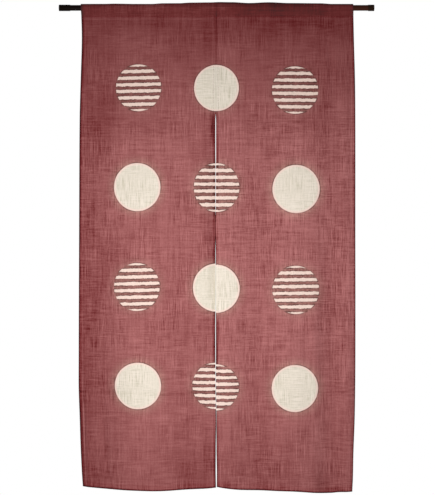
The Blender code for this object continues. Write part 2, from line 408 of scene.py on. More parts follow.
class NorenSizes(bpy.types.PropertyGroup):
    """Sizes that a user would change."""

    cloth: size_property("Cloth", "Thickness of the hemp", 0.5 * MM)
    stitch: size_property("Stitch", "Length of one stitch", 3.2 * MM)
    stitch_pitch: size_property("Stitch pitch", "From one stitch to the next", 5.0 * MM)
    thread: size_property("Thread", "Thickness of the sewing thread", 0.6 * MM)
    camera_distance: size_property("Camera distance", "From the cloth to the camera", 4.0)


def linear(colour_hex):
    """A colour in sRGB hex as linear red, green, blue and alpha."""
    shares = [int(colour_hex[n : n + 2], 16) / 255 for n in (0, 2, 4)]
    return (*(c / 12.92 if c <= 0.04045 else ((c + 0.055) / 1.055) ** 2.4 for c in shares), 1.0)


def colour_property(name, description, colour_hex):
    """A colour that the user can change, with its default as sRGB hex."""
    colour = linear(colour_hex)
    return bpy.props.FloatVectorProperty(
        name=name, description=description, default=colour, subtype="COLOR", size=4, min=0, max=1
    )


class NorenColours(bpy.types.PropertyGroup):
    """Colours that a user would change."""

    deep_dye: colour_property("Deep dye", "Where the threads took most dye", "6A1D1F")
    # The colour of the deepest painted shade, along folded edges and beside the slit
    edge_shade_colour: colour_property("Soaked dye", "Along folded edges, where dye gathers", "3A1618")
    thin_dye: colour_property("Thin dye", "Where the threads took least dye", "B77574")
    undyed: colour_property("Undyed hemp", "The dots, kept from the dye", "EBE1D4")
    raw_thread: colour_property("Raw thread", "Greyer threads in the undyed hemp", "BDB6A0")
    enamel: colour_property("Rod", "Brown enamel of the rod", "401F15")
    cap: colour_property("Caps", "Near-black plastic of the caps", "0A0706")
    floor: colour_property("Floor", "Pale floor", "ECEAE6")


def sizes():
    """The sizes set in the sidebar."""
    return bpy.context.scene.noren_sizes


def colours():
    """The colours set in the sidebar."""
    return bpy.context.scene.noren_colours


def eased(value, low, high):
    """Rises smoothly from 0 at low to 1 at high."""
    share = min(1.0, max(0.0, (value - low) / (high - low)))
    return share * share * (3 - 2 * share)


def bell(offset, half_width):
    """1 at no offset, falling smoothly to 0 at half_width."""
    share = min(1.0, abs(offset) / half_width)
    return 0.5 * (1 + math.cos(math.pi * share))


def along(table, at, column):
    """A column's value on a smooth curve through a table's rows, where the first column is at."""
    last = len(table) - 1
    low = max([0] + [n for n in range(last) if table[n][0] <= at])
    before, start, end, after = (table[min(last, max(0, low + n))] for n in (-1, 0, 1, 2))
    span = end[0] - start[0]
    share = min(1.0, max(0.0, (at - start[0]) / span))
    rise_in = (end[column] - before[column]) / (end[0] - before[0]) * span
    rise_out = (after[column] - start[column]) / (after[0] - start[0]) * span
    squared, cubed = share**2, share**3
    return (
        (2 * cubed - 3 * squared + 1) * start[column]
        + (cubed - 2 * squared + share) * rise_in
        + (3 * squared - 2 * cubed) * end[column]
        + (cubed - squared) * rise_out
    )


def stepped(table, at):
    """The second column of a table where the first is at, eased from row to row and never past either."""
    for (low, before), (high, after) in zip(table, table[1:]):
        if at <= high:
            return before + (after - before) * eased(at, low, high)
    return table[-1][1]


def fold_stand(panel, x, drop):
    """How far the folds carry the cloth towards the viewer."""
    return sum(
        stand * bell(x - crest, half) * eased(drop, start, full)
        for crest, half, stand, start, full in panel["folds"]
    )


def crease_stand(x, drop):
    """How far the fine creases carry the cloth towards the viewer."""
    total = 0.0
    for crest, middle, half_width, half_length, stand, lean in CREASES:
        if abs(drop - middle) < half_length:
            offset = x - crest - lean * (drop - middle) / half_length
            total += stand * bell(offset, half_width) * bell(drop - middle, half_length)
    for middle, crest, half_length, half_width, stand in CROSS_CREASES:
        if abs(drop - crest) < half_width:
            total += stand * bell(drop - crest, half_width) * math.sqrt(bell(x - middle, half_length))
    return total


def pucker(panel, across, drop):
    """How far the stitches draw the cloth up beside its hems and its pocket."""
    first, last = panel["first_hem"] - STITCH_INSET, panel["width"] - panel["last_hem"] + STITCH_INSET
    beside_first, beside_last = bell(across - first, PUCKER_REACH), bell(across - last, PUCKER_REACH)
    down = math.sin(drop * 311) + math.sin(drop * 197 + 1.3) + 0.7 * math.sin(drop * 83)
    total = down * beside_first + (math.sin(drop * 283 + 2.1) + math.sin(drop * 171)) * beside_last
    foot = bell(drop - FOOT_DROP + FOOT_HEM - STITCH_INSET, PUCKER_REACH)
    total += (math.sin(across * 297) + math.sin(across * 181 + 0.8)) * foot
    pocket = bell(drop - POCKET_STITCH, PUCKER_REACH) * eased(drop, 0.0, POCKET_DROP)
    total += (math.sin(across * 268) + math.sin(across * 159 + 2.4)) * pocket
    return PUCKER * total


def dye_and_shade_change(panel, across, drop):
    """How much darker (negative) or lighter a place on the cloth is painted: painted shade, painted
    highlights and some uneven dye.
    """
    total = 0.0
    for middle_across, middle_drop, half_width, half_length, depth in panel["dye"]:
        aside, below = across - middle_across, drop - middle_drop
        if abs(aside) < half_width and abs(below) < half_length:
            total += depth * bell(aside, half_width) * bell(below, half_length)
    return total


def spaced(start, end, step):
    """Evenly spaced values from start to end, both included, about step apart."""
    count = max(1, round(abs(end - start) / step))
    return [start + (end - start) * n / count for n in range(count + 1)]


def lengthwise():
    """The cloth's run in the YZ plane, from the flap's edge up the back, over the rod, down the face and
    round the foot's hem.

    Each station holds the point's y and drop, the way the cloth faces there, how far its layers spread
    where side hems lie between them (0 to 1), the part of the run it belongs to, and its layers."""
    flap_y = FACE_SETBACK + LAYER_GAP
    stitch = (FACE_SETBACK, POCKET_DROP)
    reach = math.hypot(*stitch)
    towards = math.atan2(-POCKET_DROP, FACE_SETBACK)
    half_turn = math.acos(WRAP_RADIUS / reach)
    front, back = towards - half_turn + 2 * math.pi, towards + half_turn
    arc = []
    for n in range(ARC_STEPS + 1):
        angle = back + (front - back) * n / ARC_STEPS
        out = (math.cos(angle), math.sin(angle))
        arc.append((WRAP_RADIUS * out[0], -WRAP_RADIUS * out[1], out, 0.0, "pocket", 1))

    run = [
        (flap_y, drop, (1, 0), 1.0, "flap", 1)
        for drop in spaced(POCKET_DROP + FLAP_EDGE, POCKET_DROP, MM)
    ]
    for n in range(1, WALL_STEPS):
        share = n / WALL_STEPS
        y = flap_y + (arc[0][0] - flap_y) * share
        drop = POCKET_DROP + (arc[0][1] - POCKET_DROP) * share
        run.append((y, drop, arc[0][2], 1 - share, "pocket", 1))
    run += arc
    for n in range(1, WALL_STEPS):
        share = n / WALL_STEPS
        y = arc[-1][0] + (FACE_SETBACK - arc[-1][0]) * share
        drop = arc[-1][1] + (POCKET_DROP - arc[-1][1]) * share
        run.append((y, drop, arc[-1][2], 0.0, "pocket", 1))
    run.append((FACE_SETBACK, POCKET_DROP, (-1, 0), 0.0, "face", 1))
    run.append((FACE_SETBACK, POCKET_DROP + FLAP_EDGE, (-1, 0), 0.0, "face", 1))
    hem_top = FOOT_DROP - FOOT_HEM
    for drop in spaced(POCKET_DROP + FLAP_EDGE + MM, hem_top - MM, ROW_STEP):
        run.append((FACE_SETBACK, drop, (-1, 0), 0.0, "face", 0))
    radius = LAYER_GAP / 2
    for drop in spaced(hem_top, FOOT_DROP - radius, ROW_STEP):
        run.append((FACE_SETBACK, drop, (-1, 0), 0.0, "face", 1))
    for n in range(1, FOLD_STEPS):
        angle = math.pi * n / FOLD_STEPS
        y = FACE_SETBACK + radius * (1 - math.cos(angle))
        drop = FOOT_DROP - radius + radius * math.sin(angle)
        out = (-math.cos(angle), -math.sin(angle))
        run.append((y, drop, out, (1 - math.cos(angle)) / 2, "foot", 1))
    for drop in spaced(FOOT_DROP - radius, hem_top, FOOT_HEM / HEM_STEPS):
        run.append((FACE_SETBACK + LAYER_GAP, drop, (1, 0), 1.0, "foot", 1))
    return run


def face_columns(low, high):
    """The columns of the face between its hems, closer together beside each hem."""
    beside_low = spaced(low, low + BESIDE_HEM, BESIDE_STEP)
    beside_high = spaced(high - BESIDE_HEM, high, BESIDE_STEP)
    return beside_low[:-1] + spaced(low + BESIDE_HEM, high - BESIDE_HEM, COLUMN_STEP) + beside_high[1:]


def crosswise(panel):
    """The cloth's run across, from the first side hem's inner edge round its fold, across the face and
    round the last hem. Each station holds the distance across the face, how far it lies behind the face,
    the distance along the cloth, and its layers."""
    width, first, last = panel["width"], panel["first_hem"], panel["last_hem"]
    radius = LAYER_GAP / 2
    fold = math.pi * radius
    run = [
        (across, LAYER_GAP, radius - fold - (across - radius), 1)
        for across in spaced(first, radius, first / HEM_STEPS)
    ]
    for n in range(1, FOLD_STEPS):
        angle = math.pi * n / FOLD_STEPS
        behind = radius * (1 + math.cos(angle))
        run.append((radius - radius * math.sin(angle), behind, radius - fold * (1 - n / FOLD_STEPS), 1))
    run += [(across, 0.0, across, 1) for across in spaced(radius, first, first / HEM_STEPS)]
    run += [(across, 0.0, across, 0) for across in face_columns(first + MM, width - last - MM)]
    run += [(across, 0.0, across, 1) for across in spaced(width - last, width - radius, last / HEM_STEPS)]
    turned = width - radius
    for n in range(1, FOLD_STEPS):
        angle = math.pi * n / FOLD_STEPS
        behind = radius * (1 - math.cos(angle))
        run.append((turned + radius * math.sin(angle), behind, turned + fold * n / FOLD_STEPS, 1))
    run += [
        (across, LAYER_GAP, turned + fold + (turned - across), 1)
        for across in spaced(turned, width - last, last / HEM_STEPS)
    ]
    return run


def beside_hem(panel, across):
    """1 over a side hem, falling to 0 just past it."""
    first, last = panel["first_hem"] + MM, panel["width"] - panel["last_hem"] - MM
    return max(1 - eased(across, first, first + HEM_BLEND), eased(across, last - HEM_BLEND, last))


def painted_edge_shading(panel, across, drop, part):
    """Painted shade and highlights along the edges: painted shade on the fold (negative), and a painted
    highlight where the hems and the pocket are sewn.
    """
    from_first, from_last = bell(across, EDGE_SHADE_WIDTH), bell(panel["width"] - across, EDGE_SHADE_WIDTH)
    # Above the slit's head, where the panels are sewn edge to edge, the painted shade beside the slit is
    # fainter
    seam = SEAM_SHADE_SHARE + (1 - SEAM_SHADE_SHARE) * eased(drop, SLIT_HEAD, SLIT_HEAD + 0.02)
    if panel["is_left"]:
        from_last *= seam
    else:
        from_first *= seam
    folded = max(from_first, from_last, bell(FOOT_DROP - drop, EDGE_SHADE_WIDTH))
    # Painted shade along the pocket's top, where the cloth turns over the rod
    if part == "pocket":
        folded = max(folded, panel["crest_shade"] * bell(drop + WRAP_RADIUS, EDGE_SHADE_WIDTH))
    first, last = panel["first_hem"], panel["width"] - panel["last_hem"]
    # A painted highlight on the ridge below the pocket's seam and along each sewn hem line
    sewn = SEAM_HIGHLIGHT * bell(drop - SEAM_RIDGE, SEAM_SPREAD)
    if part != "pocket":
        sewn = max(sewn, bell(across - first - MM, HEM_LINE), bell(across - last + MM, HEM_LINE))
    return HEM_HIGHLIGHT * sewn - EDGE_SHADE * folded


def crest_lift(x, y, z):
    """How far a point of the pocket is lifted towards the crease that stands along its top."""
    if z <= 0:
        return 0.0
    return stepped(CREST, x) * bell(math.atan2(z, y) - math.pi / 2, CREST_SPREAD)


def across_at(panel, across, drop):
    """The x of a point across the flat cloth, between the edges of the hung panel at a drop."""
    gap = stepped(SLIT, drop)
    left, middle, right = (along(OUTLINE, drop, column) for column in (1, 2, 3))
    low, high = (left, middle - gap / 2) if panel["is_left"] else (middle + gap / 2, right)
    return low + (high - low) * across / panel["width"]


def hung(panel, across, drop, y):
    """Where a point of the flat cloth hangs."""
    x = across_at(panel, across, drop)
    sag = along(panel["foot"], x, 1) * eased(drop, FOOT_DROP - FOOT_REACH, FOOT_DROP)
    stand = fold_stand(panel, x, drop) + crease_stand(x, drop) + pucker(panel, across, drop)
    return Vector((x, y - stand, crest_lift(x, y, -drop) - drop - sag))


def print_place(panel, x, drop):
    """The point's place in the even lattice of dots: the nearest dots' slips, blended between dots."""
    clear = DOT_RADIUS + 8 * MM
    place = [0.0, 0.0]
    for dot_column, row, dot_x, dot_drop, dot_width, dot_height, tilt in panel["dots"]:
        other = [d for d in panel["dots"] if d[0] != dot_column and d[1] == row][0]
        share = eased(abs(x - dot_x), clear, abs(other[2] - dot_x) - clear)
        towards_other = (x - dot_x) * (other[2] - dot_x) > 0
        weight = 1 - share if towards_other else 1.0
        above = [d for d in panel["dots"] if d[0] == dot_column and d[1] == row - 1]
        below = [d for d in panel["dots"] if d[0] == dot_column and d[1] == row + 1]
        beside = above if drop < dot_drop else below
        if beside:
            weight *= 1 - eased(abs(drop - dot_drop), clear, abs(beside[0][3] - dot_drop) - clear)
        turn = math.radians(tilt)
        local_x = (x - dot_x) * 2 * DOT_RADIUS / (dot_width * MM)
        local_y = (drop - dot_drop) * 2 * DOT_RADIUS / (dot_height * MM)
        turned_x = local_x * math.cos(turn) - local_y * math.sin(turn)
        turned_y = local_x * math.sin(turn) + local_y * math.cos(turn)
        place[0] += weight * (dot_column * DOT_COLUMNS + turned_x)
        place[1] += weight * (row * DOT_ROWS + turned_y)
    return place


def deselect():
    """Leaves nothing selected."""
    bpy.ops.object.select_all(action="DESELECT")


def finished(piece, name, material, replaced=()):
    """Names a piece, gives it its material, hangs it under the root body and hides the parts of the solid
    that it stands in for.
    """
    piece.name = name
    piece.data.name = name
    piece.data.materials.clear()
    piece.data.materials.append(material)
    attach(piece, "root")
    if replaced:
        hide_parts(*replaced)
    return piece


def add_node(tree, kind, inputs=(), **settings):
    """Adds a node with its settings and its inputs, which go by place or by name. An input is a value, an
    output of another node, or another node, which stands for its first output in use."""
    node = tree.nodes.new(f"ShaderNode{kind}")
    for name, value in settings.items():
        setattr(node, name, value)
    for name, value in inputs.items() if isinstance(inputs, dict) else enumerate(inputs):
        if isinstance(value, bpy.types.Node):
            value = next(output for output in value.outputs if output.enabled)
        if isinstance(value, bpy.types.NodeSocket):
            tree.links.new(value, node.inputs[name])
        else:
            node.inputs[name].default_value = value
    return node


def streaks(tree, place, across, length, seed, detail=2.0):
    """Noise with grains of a real size, in millimetres across the cloth and along it."""
    scale = (1 / (across * MM), 1 / (length * MM), 1.0)
    inputs = {"Vector": place, "Scale": scale, "Location": (seed, seed * 0.7, 0.0)}
    placed = add_node(tree, "Mapping", inputs)
    inputs = {"Vector": placed, "Scale": 1.0, "Detail": detail, "Roughness": 0.55}
    return add_node(tree, "TexNoise", inputs, noise_dimensions="2D")


def patchy(tree, place, streak, across, length, seed):
    """A streak pattern that is stronger in some places and nearly gone in others."""
    patches = streaks(tree, place, across, length, seed, 1.0)
    strength = add_node(tree, "MapRange", (patches, 0.32, 0.66, 0.35, 1.55), **SMOOTH)
    offset = add_node(tree, "Math", (streak, 0.5), operation="SUBTRACT")
    return add_node(tree, "Math", (offset, strength, 0.5), operation="MULTIPLY_ADD")


def summed(tree, start, parts):
    """The start plus each part times its weight."""
    for part, weight in parts:
        start = add_node(tree, "Math", (part, weight, start), operation="MULTIPLY_ADD")
    return start


def weighted(tree, parts, middle=0.0):
    """Parts that vary about a half, each times its weight, so that their sum varies about the middle."""
    return summed(tree, middle - sum(weight for _, weight in parts) / 2, parts)


def covered(tree, ground, coats):
    """A ground colour with coats over it, each the share that it covers and its colour."""
    for share, colour in coats:
        ground = add_node(tree, "Mix", {"Factor": share, "A": ground, "B": colour}, data_type="RGBA")
    return ground


def blank_material(name):
    """A material whose tree is empty, and the tree."""
    material = bpy.data.materials.new(name)
    material.use_nodes = True
    tree = material.node_tree
    tree.nodes.clear()
    return material, tree


def dot_distances(tree, cut):
    """How far a point lies inside what is left undyed, in metres and negative in the dye, how far it lies
    inside the dots' round rims, and 1 at a plain dot or 0 at a striped one."""
    node = partial(add_node, tree)
    lattice = node("SeparateXYZ", (node("UVMap", uv_map="print"),))
    cells, offsets = [], []
    for axis, pitch, last in (("X", DOT_COLUMNS, 2.0), ("Y", DOT_ROWS, 3.0)):
        steps = node("Math", (lattice.outputs[axis], pitch), operation="DIVIDE")
        cell = node("Clamp", (node("Math", (steps,), operation="ROUND"), 0.0, last))
        cells.append(cell)
        offsets.append(node("Math", (cell, -pitch, lattice.outputs[axis]), operation="MULTIPLY_ADD"))
    across, down = offsets
    # The resist was cut by hand, so its edges waver by about a millimetre
    wavers = ((streaks(tree, cut, 13, 9, 5), 4.6 * MM), (streaks(tree, cut, 4, 3, 9), 1.8 * MM))
    slip = weighted(tree, wavers)
    down_squared = node("Math", (down, down), operation="MULTIPLY")
    squares = node("Math", (across, across, down_squared), operation="MULTIPLY_ADD")
    radius = node("Math", (squares,), operation="SQRT")
    rim = summed(tree, DOT_RADIUS, ((radius, -1.0), (slip, 0.25)))
    turns = node("Math", (node("Math", (down, slip), operation="ADD"), BAND_PITCH), operation="DIVIDE")
    turn = node("Math", (turns,), operation="FRACT")
    off_band = node("Math", (node("Math", (turn, 0.5), operation="SUBTRACT"),), operation="ABSOLUTE")
    # Each band is a little narrower towards its ends
    end = node("Math", (across, DOT_RADIUS), operation="DIVIDE")
    narrower = node("Math", (end, end), operation="MULTIPLY")
    band = summed(tree, BAND_WIDTH / 2, ((narrower, -BAND_TAPER), (off_band, -BAND_PITCH)))
    plain = node("Math", (node("Math", (cells[0], cells[1]), operation="ADD"), 2.0), operation="MODULO")
    whole = node("Math", (band, plain), operation="ADD")
    return node("Math", (rim, whole), operation="MINIMUM"), rim, plain


def hemp(name):
    """Burgundy-dyed hemp in plain weave, matt and a little sheer.

    Hand-spun thread swells and thins, which gives the eye short streaks along both thread directions. The
    dye took unevenly, so the colour drifts from wine red to dusty pink. Light from behind warms a single
    layer, and the hems and pocket look deeper. Light and shade are also painted into the colour: painted
    shade on the doubled hems and pocket, along folded edges and in the folds' troughs, and painted
    highlights on the folds' ridges and along sewn lines."""
    material, tree = blank_material(name)
    node = partial(add_node, tree)
    palette = colours()
    cut = node("UVMap", uv_map="cut")
    # Marks from the cloth: its layers, the painted light and shade of its folds and creases, and of its
    # edges
    layers, stand, edge_shading = (
        node("Attribute", attribute_name=mark).outputs["Fac"] for mark in ("layers", "stand", "edge_shading")
    )
    # Threads are half a millimetre apart, and bunches of them 2 to 4 mm wide show as streaks
    warp = patchy(tree, cut, streaks(tree, cut, 1.7, 55, 1), 70, 120, 21)
    weft = patchy(tree, cut, streaks(tree, cut, 45, 2.6, 2), 90, 60, 22)
    wide_warp = streaks(tree, cut, 8, 180, 3)
    wide_weft = patchy(tree, cut, streaks(tree, cut, 70, 9, 4), 120, 70, 23)
    long_weft = streaks(tree, cut, 420, 4.5, 12)
    short = streaks(tree, cut, 5, 7, 6)
    cloud = streaks(tree, cut, 60, 80, 7)
    # Now and then one thick pale thread runs far up the cloth, or a short one across it
    thick_warp = node("MapRange", (streaks(tree, cut, 1.6, 420, 31, 0.0), 0.68, 0.80), **SMOOTH)
    thick_weft = node("MapRange", (streaks(tree, cut, 38, 1.9, 32, 0.0), 0.70, 0.84), **SMOOTH)
    weave = {"Vector": cut, "Scale": WAVE_PERIOD / THREAD_SHOWN, "Distortion": 2.0, "Detail Scale": 0.15}
    threads = [node("TexWave", weave, bands_direction=direction).outputs["Fac"] for direction in ("X", "Y")]

    # The threads stand out most half-way down, and more on the right
    place = node("SeparateXYZ", (cut,))
    x, drop = place.outputs["X"], place.outputs["Y"]
    begun = node("MapRange", (drop, 0.05, 0.58), **SMOOTH)
    fading = node("MapRange", (drop, 0.90, 1.35, 1.0, 0.50), **SMOOTH)
    middle = node("Math", (begun, fading), operation="MULTIPLY")
    rightwards = node("MapRange", (x, 0.0, 0.06, 0.64, 0.92), **SMOOTH)
    contrast = node("Math", (middle, rightwards, 0.62), operation="MULTIPLY_ADD")
    bunches = ((warp, 0.74), (weft, 0.38), (wide_warp, 0.32), (wide_weft, 0.28), (long_weft, 0.20))
    fine = weighted(tree, (*bunches, (short, 0.24), (threads[0], 0.17), (threads[1], 0.17)))
    fine = summed(tree, fine, ((thick_warp, 0.10), (thick_weft, 0.10)))
    dye = node("Math", (fine, contrast, weighted(tree, ((cloud, 0.26),), 0.60)), operation="MULTIPLY_ADD")
    # The pocket's lower half lies in its own shade
    shade = node("MapRange", (drop, 0.0, 0.012, 0.0, -0.05), **SMOOTH)
    above_seam = node("MapRange", (drop, POCKET_DROP - MM, POCKET_DROP + MM, 1.0, 0.0), **SMOOTH)
    shaded = node("Math", (shade, above_seam), operation="MULTIPLY")
    # The cloth is darker near the top and towards the foot, and stand adds its painted highlight and
    # painted shade
    drop_darkening = [node("MapRange", (drop, *depth), **SMOOTH) for depth in DARKER_BY_DROP]
    dye = summed(tree, dye, [(part, 1.0) for part in (*drop_darkening, stand, shaded)])
    # The doubled hems and pocket are painted deeper, as painted shade for the light they keep out, and the
    # edges get their painted shade and painted highlights
    dye = summed(tree, dye, ((layers, -0.12), (edge_shading, 0.40)))
    taken = node("Clamp", (dye,))
    # Where painted shade takes the colour past its deepest dye, it is painted with the darker shade colour
    deep_shade = node("MapRange", (dye, -0.40, 0.06, 0.85, 0.0), **SMOOTH)
    # The doubled cloth of the pocket is painted a little browner, as painted shade
    pocket = node("Math", (above_seam, 0.05), operation="MULTIPLY")

    # Paste thinned the dye round each dot, more between the bands than outside the rim
    distance, rim, plain = dot_distances(tree, cut)
    near = node("Math", (node("MapRange", (distance, -PASTE_REACH, 0.0)), 2.0), operation="POWER")
    patches = node("MapRange", (streaks(tree, cut, 7, 7, 14), 0.30, 0.70, 0.58, 0.96), **SMOOTH)
    outside = node("MapRange", (drop, 0.20, 0.50, 0.30, 1.0), **SMOOTH)
    for share in (patches, summed(tree, 0.58, ((plain, 0.42),))):
        outside = node("Math", (outside, share), operation="MULTIPLY")
    within = node("MapRange", (drop, 0.20, 0.50, 0.48, 0.84), **SMOOTH)
    last_row = node("MapRange", (drop, 1.0, 1.1, 1.0, 0.72), **SMOOTH)
    within = node("Math", (within, last_row), operation="MULTIPLY")
    in_rim = node("MapRange", (rim, -MM, MM), **SMOOTH)
    strength = node("Mix", {"Factor": in_rim, "A": outside, "B": within})
    thinned = node("Math", (near, strength), operation="MULTIPLY")
    # Dye gathered in a fine dark line where the paste ended, more in some places than in others
    past_line = node("Math", (distance, LINE_SETBACK), operation="ADD")
    off_line = node("Math", (past_line,), operation="ABSOLUTE")
    line = node("MapRange", (off_line, 0.0, LINE_REACH, 1.0, 0.0), **SMOOTH)
    gathered = node("MapRange", (streaks(tree, cut, 24, 24, 15, 1.0), 0.35, 0.62, 0.14, 0.66), **SMOOTH)
    line = node("Math", (line, gathered), operation="MULTIPLY")
    between = summed(tree, line, ((in_rim, 0.24),))

    # Greyer raw threads show in the undyed hemp. The fold and edge marks add painted shade to them where
    # the cloth falls away and along folded edges, and painted highlight on ridges
    raw_threads_and_shade = weighted(tree, ((warp, 1.65), (weft, 0.8), (short, 0.35)), 0.26)
    raw_threads_and_shade = node("Clamp", (summed(tree, raw_threads_and_shade, ((stand, -0.8), (edge_shading, -0.1))),))
    blush = node("MapRange", (distance, 2.5 * MM, 8 * MM, 0.75, 0.0), **SMOOTH)
    threaded = ((raw_threads_and_shade, tuple(palette.raw_thread)), (blush, linear("F2D5CB")))
    undyed = covered(tree, tuple(palette.undyed), threaded)
    kept = node("MapRange", (distance, -0.9 * MM, 1.3 * MM), **SMOOTH)
    coats = (
        (taken, tuple(palette.thin_dye)),
        (deep_shade, tuple(palette.edge_shade_colour)),
        (pocket, linear("8A7A74")),
        (thinned, covered(tree, linear("5A322D"), ((taken, linear("C59388")),))),
        (between, linear("4A2A24")),
        (kept, undyed),
    )
    colour = covered(tree, tuple(palette.deep_dye), coats)

    heights = ((threads[0], 0.25), (threads[1], 0.25), (warp, 0.8), (weft, 0.8), (short, 0.5))
    relief = weighted(tree, heights)
    bump = node("Bump", {"Strength": 0.5, "Distance": 0.6 * MM, "Height": relief})
    matt = {"Base Color": colour, "Roughness": 0.92, "Specular IOR Level": 0.15, "Normal": bump}
    glow = node("BsdfTranslucent", {"Color": colour, "Normal": bump})
    through = node("Math", (summed(tree, 0.20, ((layers, -0.08),)), 0.02), operation="MAXIMUM")
    sheer = node("MixShader", (through, node("BsdfPrincipled", matt), glow))
    node("OutputMaterial", {"Surface": sheer})
    return material


def grained_surface(tree, colour, roughness, specular, grain, strength, depth):
    """Ends a material with an opaque surface, whose grain stands up by a depth in metres."""
    bump = add_node(tree, "Bump", {"Strength": strength, "Distance": depth, "Height": grain})
    inputs = {"Base Color": colour, "Roughness": roughness, "Specular IOR Level": specular, "Normal": bump}
    add_node(tree, "OutputMaterial", {"Surface": add_node(tree, "BsdfPrincipled", inputs)})


def thread_cotton():
    """Wine-red cotton sewing thread, soft and matt, a little deeper than the cloth."""
    material, tree = blank_material("wine-red cotton thread")
    place = add_node(tree, "TexCoord").outputs["Object"]
    twist = add_node(tree, "TexNoise", {"Vector": place, "Scale": 900.0, "Detail": 2.0})
    colour = covered(tree, linear("6E2E31"), ((twist, linear("9C585A")),))
    grained_surface(tree, colour, 0.85, 0.5, twist, 0.4, 0.1 * MM)
    return material


def brown_enamel():
    """Dark brown stoved enamel on steel tube, with a soft highlight along the bar. It is painted near black
    towards its left end and browner towards its right, as painted shade and light.
    """
    material, tree = blank_material("brown enamel")
    place = add_node(tree, "TexCoord").outputs["Object"]
    x = add_node(tree, "SeparateXYZ", (place,)).outputs["X"]
    lit_browner = add_node(tree, "MapRange", (x, -LIGHT_SIDE_REACH, LIGHT_SIDE_REACH), **SMOOTH)
    brushed = add_node(tree, "Mapping", {"Vector": place, "Scale": (12.0, 900.0, 900.0)})
    grain = add_node(tree, "TexNoise", {"Vector": brushed, "Scale": 1.0, "Detail": 3.0})
    faint = add_node(tree, "Math", (grain, 0.25), operation="MULTIPLY")
    coats = ((lit_browner, tuple(colours().enamel)), (faint, linear("0C0908")))
    colour = covered(tree, linear("100503"), coats)
    roughness = add_node(tree, "MapRange", (grain, 0.2, 0.8, 0.34, 0.46))
    grained_surface(tree, colour, roughness, 0.08, grain, 0.15, 0.05 * MM)
    return material


def cap_plastic():
    """Moulded polyethylene, near black, with the faint grain of its mould. Its right end is painted
    browner, as painted light.
    """
    material, tree = blank_material("black moulded plastic")
    place = add_node(tree, "TexCoord").outputs["Object"]
    grain = add_node(tree, "TexNoise", {"Vector": place, "Scale": 1400.0, "Detail": 2.0})
    x = add_node(tree, "SeparateXYZ", (place,)).outputs["X"]
    lit_browner = add_node(tree, "MapRange", (x, -LIGHT_SIDE_REACH, LIGHT_SIDE_REACH, 0.0, 0.7), **SMOOTH)
    lit_browner = summed(tree, lit_browner, ((grain, 0.3),))
    colour = covered(tree, tuple(colours().cap), ((lit_browner, linear("2A1B12")),))
    grained_surface(tree, colour, 0.55, 0.02, grain, 0.25, 0.06 * MM)
    return material


def marked_points(mesh, panel, across_run, length_run, runs):
    """Where each point of the flat grid hangs, and its marks: place on the cut, layers, the painted light
    and shade of its folds and creases, and the painted shade and highlights of its edges.
    """
    columns, rows = len(across_run), len(length_run)
    stitch_row = next(n for n, station in enumerate(length_run) if station[4] == "face")
    places, marks = [], []
    for vertex in mesh.vertices:
        column = round((vertex.co.x + 1) / 2 * (columns - 1))
        row = round((1 - vertex.co.y) / 2 * (rows - 1))
        across, behind, cloth_across, side_layers = across_run[column]
        y, drop, out, spread, part, layers = length_run[row]
        y -= out[0] * behind
        if part != "face":
            y += 2 * LAYER_GAP * spread * beside_hem(panel, across)
        if part == "pocket":
            drop += out[1] * behind
        point = hung(panel, across, drop, y)
        places.append(point)
        sag = max(0.0, -point.z) - max(0.0, drop)
        cut_place = (across_at(panel, cloth_across, drop), POCKET_DROP + runs[row] - runs[stitch_row] + sag)
        by_slit = across > panel["width"] / 2 if panel["is_left"] else across < panel["width"] / 2
        if by_slit:
            side_layers *= 0.25 + 0.75 * eased(drop, SLIT_HEAD, SLIT_HEAD + 0.03)
        # The stand mark is painted light and shade: lighter where folds and creases stand out, darker where
        # they fall away, with the listed patches of painted shade, painted highlights and uneven dye
        stand = fold_stand(panel, point.x, drop) * FOLD_SHADE + crease_stand(point.x, drop) * CREASE_SHADE
        stand += dye_and_shade_change(panel, across, drop)
        marks.append((cut_place, side_layers + layers, stand, painted_edge_shading(panel, across, drop, part)))
    return places, marks


def hang_panel(side, thread):
    """One width of cloth: a flat grid of the cut's size, turned, hung and given its thickness."""
    panel = PANELS[side]
    across_run, length_run = crosswise(panel), lengthwise()
    columns, rows = len(across_run), len(length_run)
    deselect()
    bpy.ops.mesh.primitive_grid_add(x_subdivisions=columns - 1, y_subdivisions=rows - 1, size=2.0)
    cloth = bpy.context.object
    mesh = cloth.data
    if len(mesh.vertices) != columns * rows:
        raise RuntimeError(f"the grid has {len(mesh.vertices)} points, not {columns} by {rows}")

    runs = [0.0]
    for before, after in zip(length_run, length_run[1:]):
        runs.append(runs[-1] + math.hypot(after[0] - before[0], after[1] - before[1]))
    places, marks = marked_points(mesh, panel, across_run, length_run, runs)
    for vertex, place in zip(mesh.vertices, places):
        vertex.co = place
    cut = mesh.uv_layers[0]
    cut.name = "cut"
    prints = mesh.uv_layers.new(name="print")
    lattice = [print_place(panel, *mark[0]) for mark in marks]
    for loop in mesh.loops:
        cut.data[loop.index].uv = marks[loop.vertex_index][0]
        prints.data[loop.index].uv = lattice[loop.vertex_index]
    for at, name in enumerate(("layers", "stand", "edge_shading"), 1):
        attribute = mesh.attributes.new(name, "FLOAT", "POINT")
        for index, mark in enumerate(marks):
            attribute.data[index].value = mark[at]

    solidify = cloth.modifiers.new("thickness", "SOLIDIFY")
    solidify.thickness = sizes().cloth
    solidify.offset = 0.0
    bpy.ops.object.modifier_apply(modifier=solidify.name)
    bpy.ops.object.shade_smooth_by_angle(angle=math.radians(60))
    finished(cloth, f"cloth_{side}", hemp(f"dyed hemp, {side} width"), (panel["node"],))
    stitches = sew_panel(side, thread)


